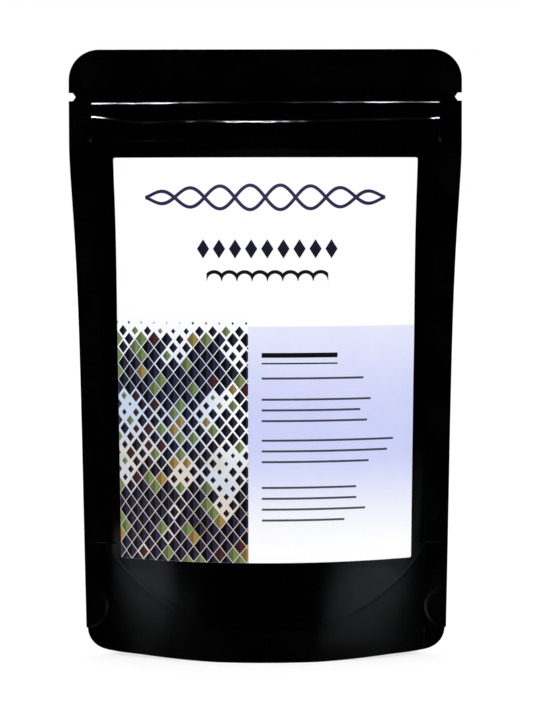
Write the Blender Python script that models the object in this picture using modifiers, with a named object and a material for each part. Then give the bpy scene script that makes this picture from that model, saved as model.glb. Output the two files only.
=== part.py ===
"""Stand-up zip pouch: two film panels, a folded bottom gusset, a zip, a front label and dried contents.

Metres, +Z up. The front faces -Y. The origin is on the floor, under the middle of the pouch.
Every film surface is a sheet whose points come from one pair of flat coordinates: "across", the distance
along the film from the pouch's centre line, and "up", the distance from the bottom edge.
"""

import math
import random

import bmesh
import bpy
from mathutils import Vector

# Driving dimensions

POUCH_WIDTH = 0.130
POUCH_HEIGHT = 0.201
PANEL_FILM = 0.0004
GUSSET_FILM = 0.0003
LAYER_GAP = 0.0003
SIDE_SEAL = 0.0075
TOP_CORNER_RADIUS = 0.010
BOTTOM_CORNER_RADIUS = 0.0075
DIE_STEP = 0.0005
DIE_STEP_RISE = 0.0005

# The bulge: how far each panel stands off the middle plane

BULGE_DEPTH = 0.0203
BULGE_TOP = 0.172
BULGE_QUICK_SHARE = 0.71
BULGE_QUICK_REACH = 0.13
BULGE_SOFT_START = 0.012
SKIRT_HEIGHT = 0.005

# The bottom edge lifts a little towards the corners

EDGE_LIFT = 0.002
EDGE_LIFT_START = 0.016
EDGE_LIFT_REACH = 0.044
EDGE_LIFT_POWER = 1.2

# Bottom gusset

GUSSET_FOLD = 0.0373
GUSSET_SEAL_MIDDLE = 0.010
GUSSET_SEAL_POWER = 2.2
GUSSET_FOLD_MIDDLE = 0.0185
GUSSET_SAG = 0.011
PUNCH_RADIUS = 0.0079
PUNCH_HEIGHT = 0.0156
PUNCH_OUTSET = 0.0007
GUSSET_STEP_BAND = 0.0006
GUSSET_STEP_INNER = 0.052

# Press-to-close zip, and the relief that it raises in the panels

ZIP_CENTRE = 0.1748
ZIP_TAPE_LOW = 0.1715
ZIP_TAPE_HIGH = 0.1827
ZIP_TAPE = 0.0003
ZIP_HALF_LENGTH = 0.0562
ZIP_RELIEF_EDGE = 0.0006
ZIP_END_RAMP = 0.001
ZIP_BODY_HALF = 0.0016
ZIP_RIDGE_HALF = 0.0023
ZIP_RIDGE_SLOPE = 0.0008
ZIP_BODY_BACK = 0.00115
ZIP_CHANNEL = 0.00075
ZIP_JAW = 0.0005
ZIP_LIP_TIP = -0.00045
ZIP_LIP_BACK = -0.0001
ZIP_LIP_REACH = 0.00045
ZIP_STEM_HALF = 0.00035
ZIP_HEAD_HALF = 0.0008

# Tear notches

NOTCH_HEIGHT = 0.1855
NOTCH_RADIUS = 0.0015
NOTCH_INSET = 0.0008

# Label

LABEL_WIDTH = 0.1006
LABEL_LOW = 0.0328
LABEL_HIGH = 0.1653
LABEL_PAPER = 0.0003

# Dried contents

FILL_LEVEL = 0.094
FILL_HALF_SPAN = 0.054
FILL_WALL_GAP = 0.0013
FILL_FLOOR_GAP = 0.0018
FILL_LUMP = 0.0012
FILL_SEED = 7

HALF_WIDTH = POUCH_WIDTH / 2
SEAL_INNER = HALF_WIDTH - SIDE_SEAL
SEAL_HALF_GAP = LAYER_GAP / 2
# Room on each side of the middle plane for one folded gusset layer
GUSSET_ROOM = GUSSET_FILM + LAYER_GAP
# Distance from a panel's middle surface to that of the gusset lying against it
LAYER_STEP = PANEL_FILM / 2 + LAYER_GAP + GUSSET_FILM / 2
# Brings the peak of share**2 * (1 - share), at two thirds, to 1
SAG_PEAK = 6.75


# Helpers


def smooth(value, start, end):
    """0 before start, 1 after end, with a soft ramp between."""
    share = min(max((value - start) / (end - start), 0.0), 1.0)
    return share * share * (3 - 2 * share)


def ramp(value, start, end):
    """0 before start, 1 after end, straight between."""
    return min(max((value - start) / (end - start), 0.0), 1.0)


def spread(start, end, steps):
    """The evenly spaced values from start to end, both included."""
    return [start + (end - start) * step / steps for step in range(steps + 1)]


def mirrored(values):
    """The values with their mirror images, in order, for a list that ends at zero."""
    return [-value for value in values] + list(reversed(values[:-1]))


# The pouch's form


def bulge(up):
    """How far the middle of a panel stands off the seal plane at a height."""
    share = (BULGE_TOP - max(up, SKIRT_HEIGHT)) / BULGE_TOP
    if share <= 0:
        return 0.0
    share = math.hypot(share, BULGE_SOFT_START) - BULGE_SOFT_START
    quick = 1 - math.exp(-share / BULGE_QUICK_REACH)
    return BULGE_DEPTH * (BULGE_QUICK_SHARE * quick + (1 - BULGE_QUICK_SHARE) * share)


def arc_angle(depth):
    """Half the angle of the arc that stands depth off its chord, for film of the unsealed half width."""
    angle = 2 * depth / SEAL_INNER
    for _ in range(8):
        error = (1 - math.cos(angle)) / angle - depth / SEAL_INNER
        slope = (angle * math.sin(angle) - 1 + math.cos(angle)) / angle**2
        angle -= error / slope
    return angle


def bow(across, up):
    """A film point after the bulge: its sideways place and its distance off the seal plane."""
    depth = bulge(up)
    if depth < 1e-7:
        return across, 0.0
    angle = arc_angle(depth)
    radius = SEAL_INNER / angle
    inner = min(abs(across), SEAL_INNER)
    turn = inner / radius
    sideways = radius * math.sin(turn) + abs(across) - inner
    return math.copysign(sideways, across), radius * (math.cos(turn) - math.cos(angle))


def seal_room(across, up):
    """Half the space that the layers between the panels take up at a point."""
    near_side = smooth(abs(across), GUSSET_STEP_INNER, SEAL_INNER)
    fold_top = GUSSET_FOLD + GUSSET_STEP_BAND
    gusset = near_side * (1 - ramp(up, fold_top, fold_top + GUSSET_STEP_BAND))
    zip_span = 1 - ramp(abs(across), SEAL_INNER - ZIP_END_RAMP, SEAL_INNER)
    tape = ramp(up, ZIP_TAPE_LOW - ZIP_RELIEF_EDGE, ZIP_TAPE_LOW)
    tape *= 1 - ramp(up, ZIP_TAPE_HIGH, ZIP_TAPE_HIGH + ZIP_RELIEF_EDGE)
    off_centre = abs(up - ZIP_CENTRE)
    ridge = 1 - ramp(off_centre, ZIP_RIDGE_HALF, ZIP_RIDGE_HALF + ZIP_RIDGE_SLOPE)
    tape_room = (ZIP_TAPE + LAYER_GAP) * tape
    ridge_room = (ZIP_BODY_BACK - SEAL_HALF_GAP - ZIP_TAPE) * ridge
    return SEAL_HALF_GAP + GUSSET_ROOM * gusset + (tape_room + ridge_room) * zip_span


def height(across, up):
    """The height above the floor of a point on the film."""
    share = max(abs(across) - EDGE_LIFT_START, 0.0) / EDGE_LIFT_REACH
    fade = max(1 - up / GUSSET_FOLD, 0.0) ** 2
    return up + EDGE_LIFT * share**EDGE_LIFT_POWER * fade


def panel_point(across, up, side):
    """A point of a panel's middle surface. side is -1 for the front and 1 for the back."""
    sideways, off_plane = bow(across, up)
    off_plane += seal_room(across, up) + PANEL_FILM / 2
    return Vector((sideways, side * off_plane, height(across, up)))


def panel_normal(across, up, side):
    """The direction in which a panel faces outwards at a point."""
    step = 0.0002
    along = panel_point(across + step, up, side) - panel_point(across - step, up, side)
    upwards = panel_point(across, up + step, side) - panel_point(across, up - step, side)
    return (along.cross(upwards) * -side).normalized()


def half_outline(up):
    """Half the film's flat width at a height, with the die-cut corners."""
    from_top = up - (POUCH_HEIGHT - TOP_CORNER_RADIUS)
    if from_top > 0:
        corner = TOP_CORNER_RADIUS
        return HALF_WIDTH - corner + math.sqrt(max(corner**2 - from_top**2, 0.0))
    corner = BOTTOM_CORNER_RADIUS
    if up <= corner:
        return HALF_WIDTH - DIE_STEP - corner + math.sqrt(corner**2 - (corner - up) ** 2)
    return HALF_WIDTH - DIE_STEP * (1 - ramp(up, corner, corner + DIE_STEP_RISE))


def seal_top(across):
    """How far up the gusset is sealed to the panel: low in the middle, up to the fold at the side seals."""
    share = min(abs(across) / SEAL_INNER, 1.0)
    low = GUSSET_SEAL_MIDDLE
    return low + (GUSSET_FOLD - GUSSET_FILM - low) * share**GUSSET_SEAL_POWER


def gusset_leaf_height(across, share):
    """The height of the free part of a gusset leaf, share 0 at its seal and 1 at the middle fold."""
    side_share = min(abs(across) / SEAL_INNER, 1.0)
    start = height(across, seal_top(across))
    fold = GUSSET_FOLD_MIDDLE + (GUSSET_FOLD - GUSSET_FOLD_MIDDLE) * side_share**2
    sag = GUSSET_SAG * (1 - side_share**2) * SAG_PEAK * share**2 * (1 - share)
    return start + (fold - start) * math.sin(math.pi / 2 * share) - sag


def gusset_seal_point(across, up, side):
    """A point of the gusset where it lies against a panel."""
    return panel_point(across, up, side) - panel_normal(across, up, side) * LAYER_STEP


# Mesh helpers


def show(collection, name, mesh, material):
    """Makes the object of a mesh, in a collection and with its material."""
    mesh.name = name
    mesh.materials.append(material)
    piece = bpy.data.objects.new(name, mesh)
    collection.objects.link(piece)
    return piece


def sheet_mesh(columns, rows, place):
    """An open grid of columns by rows, with each point put by place(column, row)."""
    bm = bmesh.new()
    across_count = len(columns) - 1
    up_count = len(rows) - 1
    bmesh.ops.create_grid(bm, x_segments=across_count, y_segments=up_count, size=0.5)
    for vertex in bm.verts:
        column = columns[round((vertex.co.x + 0.5) * across_count)]
        row = rows[round((vertex.co.y + 0.5) * up_count)]
        vertex.co = place(column, row)
    mesh = bpy.data.meshes.new("sheet")
    bm.to_mesh(mesh)
    bm.free()
    mesh.shade_smooth()
    mesh.set_sharp_from_angle(angle=math.radians(40))
    return mesh


def thicken(piece, thickness):
    """Gives an open sheet its thickness, half to each side."""
    solidify = piece.modifiers.new("film", "SOLIDIFY")
    solidify.thickness = thickness
    solidify.offset = 0
    solidify.use_even_offset = True
    solidify.use_quality_normals = True


def cut(piece, cutter):
    """Cuts a cutter's shape out of a piece."""
    boolean = piece.modifiers.new("cut " + cutter.name, "BOOLEAN")
    boolean.operation = "DIFFERENCE"
    boolean.solver = "EXACT"
    boolean.object = cutter


def rod_cutter(collection, name, sides, radius, depth, place):
    """A cutter: a rod with flat ends that runs front to back."""
    bpy.ops.mesh.primitive_cylinder_add(
        vertices=sides, radius=radius, depth=depth, location=place, rotation=(math.pi / 2, 0, 0)
    )
    cutter = bpy.context.object
    cutter.name = name
    for owner in list(cutter.users_collection):
        owner.objects.unlink(cutter)
    collection.objects.link(cutter)
    cutter.hide_render = True
    cutter.display_type = "WIRE"
    return cutter


def principled(name, colour, roughness, metallic=0.0):
    """A material with a colour, a roughness and a metallic value."""
    material = bpy.data.materials.new(name)
    material.use_nodes = True
    shader = material.node_tree.nodes["Principled BSDF"]
    shader.inputs["Base Color"].default_value = (*colour, 1.0)
    shader.inputs["Roughness"].default_value = roughness
    shader.inputs["Metallic"].default_value = metallic
    return material


# Panels

SHARED_COLUMNS = spread(SEAL_INNER - ZIP_END_RAMP, 0.0, 7)
PANEL_COLUMNS = [HALF_WIDTH, HALF_WIDTH - SIDE_SEAL / 2, SEAL_INNER] + SHARED_COLUMNS
# Above the shoulder the bulge flattens quickly, so rows lie closer
SHOULDER = 0.138
SHOULDER_ROWS = [0.147, 0.155, 0.161, 0.166]


def corner_rows():
    """The heights of the rows in the round bottom corners, which panels and gusset share."""
    return [BOTTOM_CORNER_RADIUS * (1 - math.cos(math.radians(angle))) for angle in (0, 30, 60, 90)]


def panel_rows():
    """The heights of a panel's rows: close together at corners and steps, further apart on the bulge."""
    step_low = GUSSET_FOLD + GUSSET_STEP_BAND
    step_high = step_low + GUSSET_STEP_BAND
    rows = corner_rows()
    rows += spread(BOTTOM_CORNER_RADIUS + DIE_STEP_RISE, step_low, 4) + [step_high]
    rows += spread(step_high, SHOULDER, 9)[1:] + SHOULDER_ROWS
    rows += [ZIP_TAPE_LOW - ZIP_RELIEF_EDGE, ZIP_TAPE_LOW]
    ridge_low = ZIP_CENTRE - ZIP_RIDGE_HALF
    ridge_high = ZIP_CENTRE + ZIP_RIDGE_HALF
    rows += [ridge_low - ZIP_RIDGE_SLOPE, ridge_low, ridge_high, ridge_high + ZIP_RIDGE_SLOPE]
    rows += [ZIP_TAPE_HIGH, ZIP_TAPE_HIGH + ZIP_RELIEF_EDGE]
    top = POUCH_HEIGHT - TOP_CORNER_RADIUS
    rows += [top + TOP_CORNER_RADIUS * math.sin(math.radians(angle)) for angle in (0, 25, 50, 70, 90)]
    return rows


def panel(collection, name, side, material, notches):
    """One panel of film with its seals, bulge, zip relief and tear notches."""

    def place(column, row):
        return panel_point(fitted(column, row), row, side)

    columns = mirrored(PANEL_COLUMNS)
    piece = show(collection, name, sheet_mesh(columns, panel_rows(), place), material)
    thicken(piece, PANEL_FILM)
    for notch in notches:
        cut(piece, notch)
    return piece


def fitted(column, row):
    """A column's place in a row, drawn in where a die-cut corner narrows the film."""
    edge = half_outline(row)
    inner = HALF_WIDTH - TOP_CORNER_RADIUS
    if abs(column) <= inner:
        return column
    share = (abs(column) - inner) / (HALF_WIDTH - inner)
    return math.copysign(inner + (edge - inner) * share, column)


def tear_notches(collection):
    """The cutters of the notches, one at each side edge, which point inwards."""
    centre = HALF_WIDTH - NOTCH_INSET
    return [
        rod_cutter(collection, name, 6, NOTCH_RADIUS, 0.01, (centre * side, 0, NOTCH_HEIGHT))
        for name, side in (("notch left", -1), ("notch right", 1))
    ]


# Bottom gusset

GUSSET_CORNER_STEPS = 3
GUSSET_SEAL_STEPS = 3
GUSSET_LEAF_STEPS = 9


def gusset_rows():
    """Row numbers from the front edge over the middle fold, at 0, to the back edge."""
    count = GUSSET_LEAF_STEPS + GUSSET_SEAL_STEPS + GUSSET_CORNER_STEPS
    return list(range(-count, count + 1))


def gusset_seal_height(column, steps_from_seal):
    """How far up a gusset row lies that many steps below the seal's top."""
    corners = corner_rows()
    if steps_from_seal > GUSSET_SEAL_STEPS:
        return corners[GUSSET_SEAL_STEPS + GUSSET_CORNER_STEPS - steps_from_seal]
    share = steps_from_seal / GUSSET_SEAL_STEPS
    return seal_top(column) * (1 - share) + corners[-1] * share


def gusset_point(column, row):
    """A point of the gusset: against its panel up to the slanted seal, then free to the middle fold."""
    side = math.copysign(1, row)
    steps_from_fold = abs(row)
    if steps_from_fold >= GUSSET_LEAF_STEPS:
        up = gusset_seal_height(column, steps_from_fold - GUSSET_LEAF_STEPS)
        return gusset_seal_point(fitted(column, up), up, side)
    share = 1 - steps_from_fold / GUSSET_LEAF_STEPS
    start = gusset_seal_point(column, seal_top(column), side)
    off_plane = start.y * math.cos(math.pi / 2 * share)
    return Vector((start.x, off_plane, gusset_leaf_height(column, share)))


def bottom_gusset(collection, cutters, material):
    """The folded web between the panels, with half-round punch-outs in its side seals."""
    columns = mirrored(PANEL_COLUMNS)
    piece = show(collection, "bottom_gusset", sheet_mesh(columns, gusset_rows(), gusset_point), material)
    thicken(piece, GUSSET_FILM)
    edge = bow(HALF_WIDTH, PUNCH_HEIGHT)[0] + PUNCH_OUTSET
    for name, side in (("punch left", -1), ("punch right", 1)):
        place = (edge * side, 0, PUNCH_HEIGHT)
        cut(piece, rod_cutter(cutters, name, 24, PUNCH_RADIUS, 0.008, place))
    return piece


# Zip


def zip_strip(collection, name, outline, material):
    """One extruded strip of the zip. outline is its section: distance off the middle plane, and height."""
    curve = bpy.data.curves.new(name, "CURVE")
    curve.dimensions = "2D"
    curve.fill_mode = "BOTH"
    curve.extrude = ZIP_HALF_LENGTH
    spline = curve.splines.new("POLY")
    spline.points.add(len(outline) - 1)
    for point, (off_plane, rise) in zip(spline.points, outline):
        point.co = (off_plane, rise, 0, 1)
    spline.use_cyclic_u = True
    curve.materials.append(material)
    piece = bpy.data.objects.new(name, curve)
    piece.rotation_euler = (math.pi / 2, 0, math.pi / 2)
    piece.location = (0, 0, ZIP_CENTRE)
    collection.objects.link(piece)
    return piece


def tape_outline(half, body, direction):
    """A strip's section: its tape, above and below a body of the given half height and mating points."""
    face = SEAL_HALF_GAP
    back = SEAL_HALF_GAP + ZIP_TAPE
    low = ZIP_TAPE_LOW - ZIP_CENTRE
    high = ZIP_TAPE_HIGH - ZIP_CENTRE
    points = [(back, high), (back, half), (ZIP_BODY_BACK, half)]
    points += [(ZIP_BODY_BACK, -half), (back, -half), (back, low), (face, low)]
    points += body + [(face, high)]
    return [(direction * off_plane, rise) for off_plane, rise in points]


def groove_outline():
    """The groove strip's section, on the front: two jaws with lips around a channel."""
    outer = ZIP_BODY_HALF
    inner = outer - ZIP_JAW
    lip = inner - ZIP_LIP_REACH
    lower = [(SEAL_HALF_GAP, -outer), (ZIP_LIP_TIP, -outer), (ZIP_LIP_TIP, -lip)]
    lower += [(ZIP_LIP_BACK, -lip), (ZIP_LIP_BACK, -inner), (ZIP_CHANNEL, -inner)]
    return tape_outline(outer, lower + upside_down(lower), -1)


def rib_outline():
    """The rib strip's section, on the back: a stem with a barbed head that sits in the channel."""
    base = ZIP_BODY_BACK - ZIP_TAPE
    clear = ZIP_BODY_HALF + LAYER_GAP
    head_back = -ZIP_LIP_BACK - LAYER_GAP
    head_tip = LAYER_GAP - ZIP_CHANNEL
    lower = [(SEAL_HALF_GAP, -clear), (base, -clear), (base, -ZIP_STEM_HALF)]
    lower += [(head_back, -ZIP_STEM_HALF), (head_back, -ZIP_HEAD_HALF), (head_tip, -ZIP_STEM_HALF)]
    return tape_outline(clear + ZIP_TAPE, lower + upside_down(lower), 1)


def upside_down(points):
    """The upper half of a section from its lower half."""
    return [(off_plane, -rise) for off_plane, rise in reversed(points)]


# Label


def label(collection, material):
    """The label, which lies on the front panel and follows its curve."""
    lift = PANEL_FILM / 2 + LAYER_GAP + LABEL_PAPER / 2

    def place(column, row):
        return panel_point(column, row, -1) + panel_normal(column, row, -1) * lift

    columns = mirrored(spread(LABEL_WIDTH / 2, 0.0, 6))
    rows = spread(LABEL_LOW, SHOULDER, 9) + SHOULDER_ROWS[:-1] + [LABEL_HIGH]
    piece = show(collection, "label", sheet_mesh(columns, rows, place), material)
    thicken(piece, LABEL_PAPER)
    return piece


# Dried contents

FILL_ACROSS_STEPS = 28
FILL_DEPTH_STEPS = 8
FILL_HEIGHT_STEPS = 5


def divided_block(steps):
    """A cube from -1 to 1 whose faces are cut into the given number of steps along x, y and z."""
    bm = bmesh.new()
    bmesh.ops.create_cube(bm, size=2)
    for axis, count in enumerate(steps):
        normal = Vector((0, 0, 0))
        normal[axis] = 1
        for at in spread(-1, 1, count)[1:-1]:
            parts = bm.verts[:] + bm.edges[:] + bm.faces[:]
            bmesh.ops.bisect_plane(bm, geom=parts, dist=1e-6, plane_co=normal * at, plane_no=normal)
    return bm


def fill_floor(across, depth_share):
    """The height of the contents' underside, which lies on the gusset."""
    seal = gusset_seal_point(across, seal_top(across), 1)
    wall = abs(panel_point(across, seal_top(across), 1).y) - FILL_WALL_GAP
    off_plane = min(abs(depth_share) * wall / seal.y, 1.0)
    share = math.acos(off_plane) / (math.pi / 2)
    return gusset_leaf_height(across, share) + FILL_FLOOR_GAP


def dried_berry_fill(collection, material):
    """The dried contents as one body, lumpy on top."""
    bm = divided_block((FILL_ACROSS_STEPS, FILL_DEPTH_STEPS, FILL_HEIGHT_STEPS))
    lumps = random.Random(FILL_SEED)
    for vertex in sorted(bm.verts, key=lambda v: tuple(round(c, 4) for c in v.co)):
        across = vertex.co.x * FILL_HALF_SPAN
        depth_share = vertex.co.y
        up_share = (vertex.co.z + 1) / 2
        low = fill_floor(across, depth_share)
        top = FILL_LEVEL + (lumps.uniform(-FILL_LUMP, FILL_LUMP) if up_share > 0.999 else 0.0)
        up = low + (top - low) * up_share
        wall = panel_point(across, up, 1)
        vertex.co = (wall.x, depth_share * (wall.y - FILL_WALL_GAP), up)
    mesh = bpy.data.meshes.new("fill")
    bm.to_mesh(mesh)
    bm.free()
    return show(collection, "dried_berry_fill", mesh, material)


def build():
    """Clears the scene and makes every piece."""
    for piece in list(bpy.data.objects):
        bpy.data.objects.remove(piece, do_unlink=True)
    pouch = bpy.data.collections.new("stand-up pouch")
    cutters = bpy.data.collections.new("cutters")
    bpy.context.scene.collection.children.link(pouch)
    bpy.context.scene.collection.children.link(cutters)

    black_film = principled("black film", (0.006, 0.006, 0.007), 0.38)
    gusset_film = principled("gusset film", (0.007, 0.007, 0.008), 0.42)
    back_film = principled("back film", (0.006, 0.006, 0.007), 0.38)
    groove_plastic = principled("groove plastic", (0.62, 0.63, 0.64), 0.35)
    rib_plastic = principled("rib plastic", (0.60, 0.61, 0.62), 0.35)
    label_paper = principled("label paper", (0.86, 0.86, 0.89), 0.45)
    dried_berries = principled("dried berries", (0.02, 0.012, 0.02), 0.75)

    notches = tear_notches(cutters)
    panel(pouch, "front_panel", -1, black_film, notches)
    panel(pouch, "back_panel", 1, back_film, notches)
    bottom_gusset(pouch, cutters, gusset_film)
    zip_strip(pouch, "zip_groove_strip", groove_outline(), groove_plastic)
    zip_strip(pouch, "zip_rib_strip", rib_outline(), rib_plastic)
    label(pouch, label_paper)
    dried_berry_fill(pouch, dried_berries)


if __name__ == "__main__":
    build()
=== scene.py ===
"""The looks of a stand-up zip pouch: black laminated film, folded gusset, zip, printed label, contents.

Metres, +Z up. The label faces -Y and the pouch stands on z = 0. Film points are given by their flat
distances "across" from the pouch's centre line and "up" from its bottom edge.
"""

import math

import bmesh
import bpy
from mathutils import Matrix, Vector, noise


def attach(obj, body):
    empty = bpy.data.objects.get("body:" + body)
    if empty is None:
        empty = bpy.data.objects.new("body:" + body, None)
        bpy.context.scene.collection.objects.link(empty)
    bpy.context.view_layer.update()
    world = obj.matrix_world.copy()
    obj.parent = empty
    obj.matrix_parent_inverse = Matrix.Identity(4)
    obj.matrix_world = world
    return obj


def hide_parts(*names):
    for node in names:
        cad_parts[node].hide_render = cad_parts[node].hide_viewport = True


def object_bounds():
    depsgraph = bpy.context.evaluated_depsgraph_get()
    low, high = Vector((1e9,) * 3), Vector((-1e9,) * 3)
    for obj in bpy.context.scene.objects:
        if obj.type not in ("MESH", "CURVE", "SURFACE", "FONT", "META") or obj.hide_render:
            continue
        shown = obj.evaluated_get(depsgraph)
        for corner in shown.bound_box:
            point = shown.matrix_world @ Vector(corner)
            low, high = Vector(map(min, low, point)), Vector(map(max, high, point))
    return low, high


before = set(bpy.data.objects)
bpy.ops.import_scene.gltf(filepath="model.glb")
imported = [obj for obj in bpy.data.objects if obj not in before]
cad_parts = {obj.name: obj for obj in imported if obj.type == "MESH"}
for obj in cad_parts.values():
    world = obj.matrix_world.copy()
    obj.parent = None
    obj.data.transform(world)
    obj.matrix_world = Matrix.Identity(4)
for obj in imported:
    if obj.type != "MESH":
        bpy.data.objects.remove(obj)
CAD_BOX = [list(corner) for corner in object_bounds()]

bl_info = {
    "name": "Stand-up Zip Pouch",
    "version": (1, 0, 0),
    "blender": (4, 5, 0),
    "location": "3D View > Sidebar > Pouch",
    "description": "Builds a stand-up film pouch with its gusset, zip, label, contents and studio",
    "category": "Object",
}

MM = 0.001

# The pouch's outline
AIR = 0.01 * MM
HALF_WIDTH = CAD_BOX[1][0] - AIR
POUCH_HEIGHT = CAD_BOX[1][2] - AIR
HALF_DEPTH = CAD_BOX[1][1]
SIDE_SEAL = 7.5 * MM
SEAL_INNER = HALF_WIDTH - SIDE_SEAL
TOP_CORNER = 10 * MM
BOTTOM_CORNER = 7.5 * MM
DIE_STEP = 0.5 * MM
DIE_STEP_RISE = 0.5 * MM
LEAST_CORNER = 0.4 * MM

# The bulge of a panel over its height
BULGE_DEPTH = 20.3 * MM
BULGE_TOP = 172 * MM
BULGE_QUICK_SHARE = 0.71
BULGE_QUICK_REACH = 0.13
BULGE_SOFT_START = 0.012
SKIRT_HEIGHT = 5 * MM
EDGE_LIFT = 2 * MM
EDGE_LIFT_START = 16 * MM
EDGE_LIFT_REACH = 44 * MM
EDGE_LIFT_POWER = 1.2
EDGE_LIFT_DROP = 0.26
EDGE_DROP_ZONE = (40 * MM, 54 * MM)
SQUARENESS = 0.68 * MM
SQUARE_ZONE = (100 * MM, 158 * MM)
DENTED_ZONE = (2 * MM, 24 * MM, 158 * MM, 171 * MM)
BROAD_DENT = 26 * MM
FINE_DENT = 8 * MM
# Where the fine dents are: the height and reach of each zone, and how far out it starts
SHOULDER_HEIGHT = (152 * MM, 16 * MM)
SHOULDER_SIDE = (22 * MM, 44 * MM)
CORNER_HEIGHT = (36 * MM, 14 * MM)
CORNER_SIDE = (34 * MM, 50 * MM)

# The bottom gusset
GUSSET_FOLD = 37.3 * MM
GUSSET_SEAL_MIDDLE = 10 * MM
GUSSET_SEAL_POWER = 2.2
GUSSET_FOLD_MIDDLE = 18.5 * MM
GUSSET_SAG = 11 * MM
GUSSET_DENT = 0.5 * MM
GUSSET_STEP_INNER = 52 * MM
SAG_PEAK = 6.75
FOLD_STEP = 0.25 * MM
FOLD_BEAD = 0.35 * MM
PUNCH_RADIUS = 7.9 * MM
PUNCH_HEIGHT = 15.6 * MM
PUNCH_OUTSET = 0.7 * MM
PUNCH_STEP = 0.5 * MM
PUNCH_UPPER_SOFTNESS = 4
PUNCH_RIM_SHARE = 0.5
CREASE_START = (18 * MM, 36 * MM)
CREASE_FADE = 9 * MM
CREASE_WIDTH = 0.8 * MM
TUCK_REACH = 18 * MM

# The zip under the film
ZIP_CENTRE = 174.8 * MM
ZIP_TAPE_LOW = 171.5 * MM
ZIP_TAPE_HIGH = 182.7 * MM
ZIP_REACH = (ZIP_TAPE_LOW - 1 * MM, ZIP_TAPE_HIGH + 2 * MM)
ZIP_HALF_LENGTH = 57.3 * MM
ZIP_END = 1.4 * MM
ZIP_LOWER_EDGE = 1.5 * MM
ZIP_RIDGE_FOOT = 2.1 * MM
ZIP_RIDGE_HALF = {-1: 1.75 * MM, 1: 2.3 * MM}
ZIP_SOFT_SLOPE = 1.9 * MM
ZIP_FIRM_SLOPE = 0.85 * MM
ZIP_FIRM_SWELL = 0.35
ZIP_PUCKER = 0.05 * MM

# Where the zip's relief changes along its length: places to the right of its middle, and for the names
# that end in LEFT the distances to the left of it
CALM_MIDDLE = -3 * MM
CALM_REACH = 17 * MM
CRISP_ZONE = (-24 * MM, -12 * MM, 5 * MM, 16 * MM)
FAINT_MIDDLE = -38 * MM
FAINT_REACH = 7 * MM
FAINT_RIGHT = (14 * MM, 24 * MM)
FIRM_ENDS = {-1: (47 * MM, 55 * MM), 1: (53 * MM, 55 * MM)}
FULLER_LEFT = (8 * MM, 22 * MM)
SLACK_RIGHT = (8 * MM, 16 * MM)
LEVEL_LEFT = (18 * MM, 48 * MM)
# Each flare: how far it rises, and the stretch where it grows. The dip: its depth, middle and reach
FLARES_RIGHT = ((0.6 * MM, 18 * MM, 48 * MM), (0.6 * MM, 50 * MM, 58 * MM))
FLARE_LEFT = (1.7 * MM, 43 * MM, 58 * MM)
FLARE_DIP = (0.5 * MM, -41 * MM, 9 * MM)

# The tear notches
NOTCH_HEIGHT = 185.35 * MM
NOTCH_HALF = 1.3 * MM
NOTCH_STRAIGHT = 1.4 * MM
NOTCH_POINT = 0.9 * MM
NOTCH_WALL = 0.06 * MM

# The label
LABEL_WIDTH = 100.8 * MM
LABEL_LOW = 32.8 * MM
LABEL_HIGH = 165.3 * MM
LABEL_CORNER = 0.6 * MM

# Names of what the meshes carry for the materials
FLAT_MAP = "flat_map"
FLAT_SCALE = 0.1
SEAL_MARK = "seal_share"
EDGE_MARK = "edge_mm"

# Settings


def screen(red, green, blue):
    """A colour given by its screen values from 0 to 255, as linear light."""
    shares = [value / 255 for value in (red, green, blue)]
    return tuple(s / 12.92 if s <= 0.04045 else ((s + 0.055) / 1.055) ** 2.4 for s in shares)


def length(title, about, default):
    """A length setting in metres."""
    return bpy.props.FloatProperty(
        name=title, description=about, default=default, min=0.0, unit="LENGTH", precision=5
    )


def share(title, about, default, top=1.0):
    """A setting without a unit."""
    return bpy.props.FloatProperty(name=title, description=about, default=default, min=0.0, max=top)


def angle(title, about, degrees):
    """An angle setting, with its default in degrees."""
    return bpy.props.FloatProperty(
        name=title, description=about, default=math.radians(degrees), subtype="ANGLE"
    )


def colour(title, about, default):
    """A colour setting, in linear light."""
    return bpy.props.FloatVectorProperty(
        name=title, description=about, default=default, size=3, min=0.0, max=1.0, subtype="COLOR"
    )


class PouchSizes(bpy.types.PropertyGroup):
    """Sizes of the pouch that a user would change."""

    film: length("Film", "Thickness of the laminated film", 0.13 * MM)
    tape_lift: length("Tape lift", "How far the zip's tape raises the film", 0.75 * MM)
    ridge_lift: length("Ridge lift", "How far the zip's profile raises the film over its tape", 0.7 * MM)
    crease: length("Crease", "Height of the crease along the gusset's seal", 0.1 * MM)
    tuck: length("Tuck", "How far the film draws in below that crease", 0.2 * MM)
    ripple: length("Ripple", "Height of the soft dents in the free film", 0.22 * MM)
    sway: length("Sway", "How far the flat seals wave front to back", 0.35 * MM)
    fold_bead: length("Fold bead", "Height of the bead where the gusset's fold shows", 0.07 * MM)
    label: length("Label", "Thickness of the label stock", 0.1 * MM)
    berry: length("Berry", "Size of one dried berry", 4.4 * MM)
    wrinkle: length("Wrinkle", "Depth of the wrinkles on a dried berry", 0.12 * MM)


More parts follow.
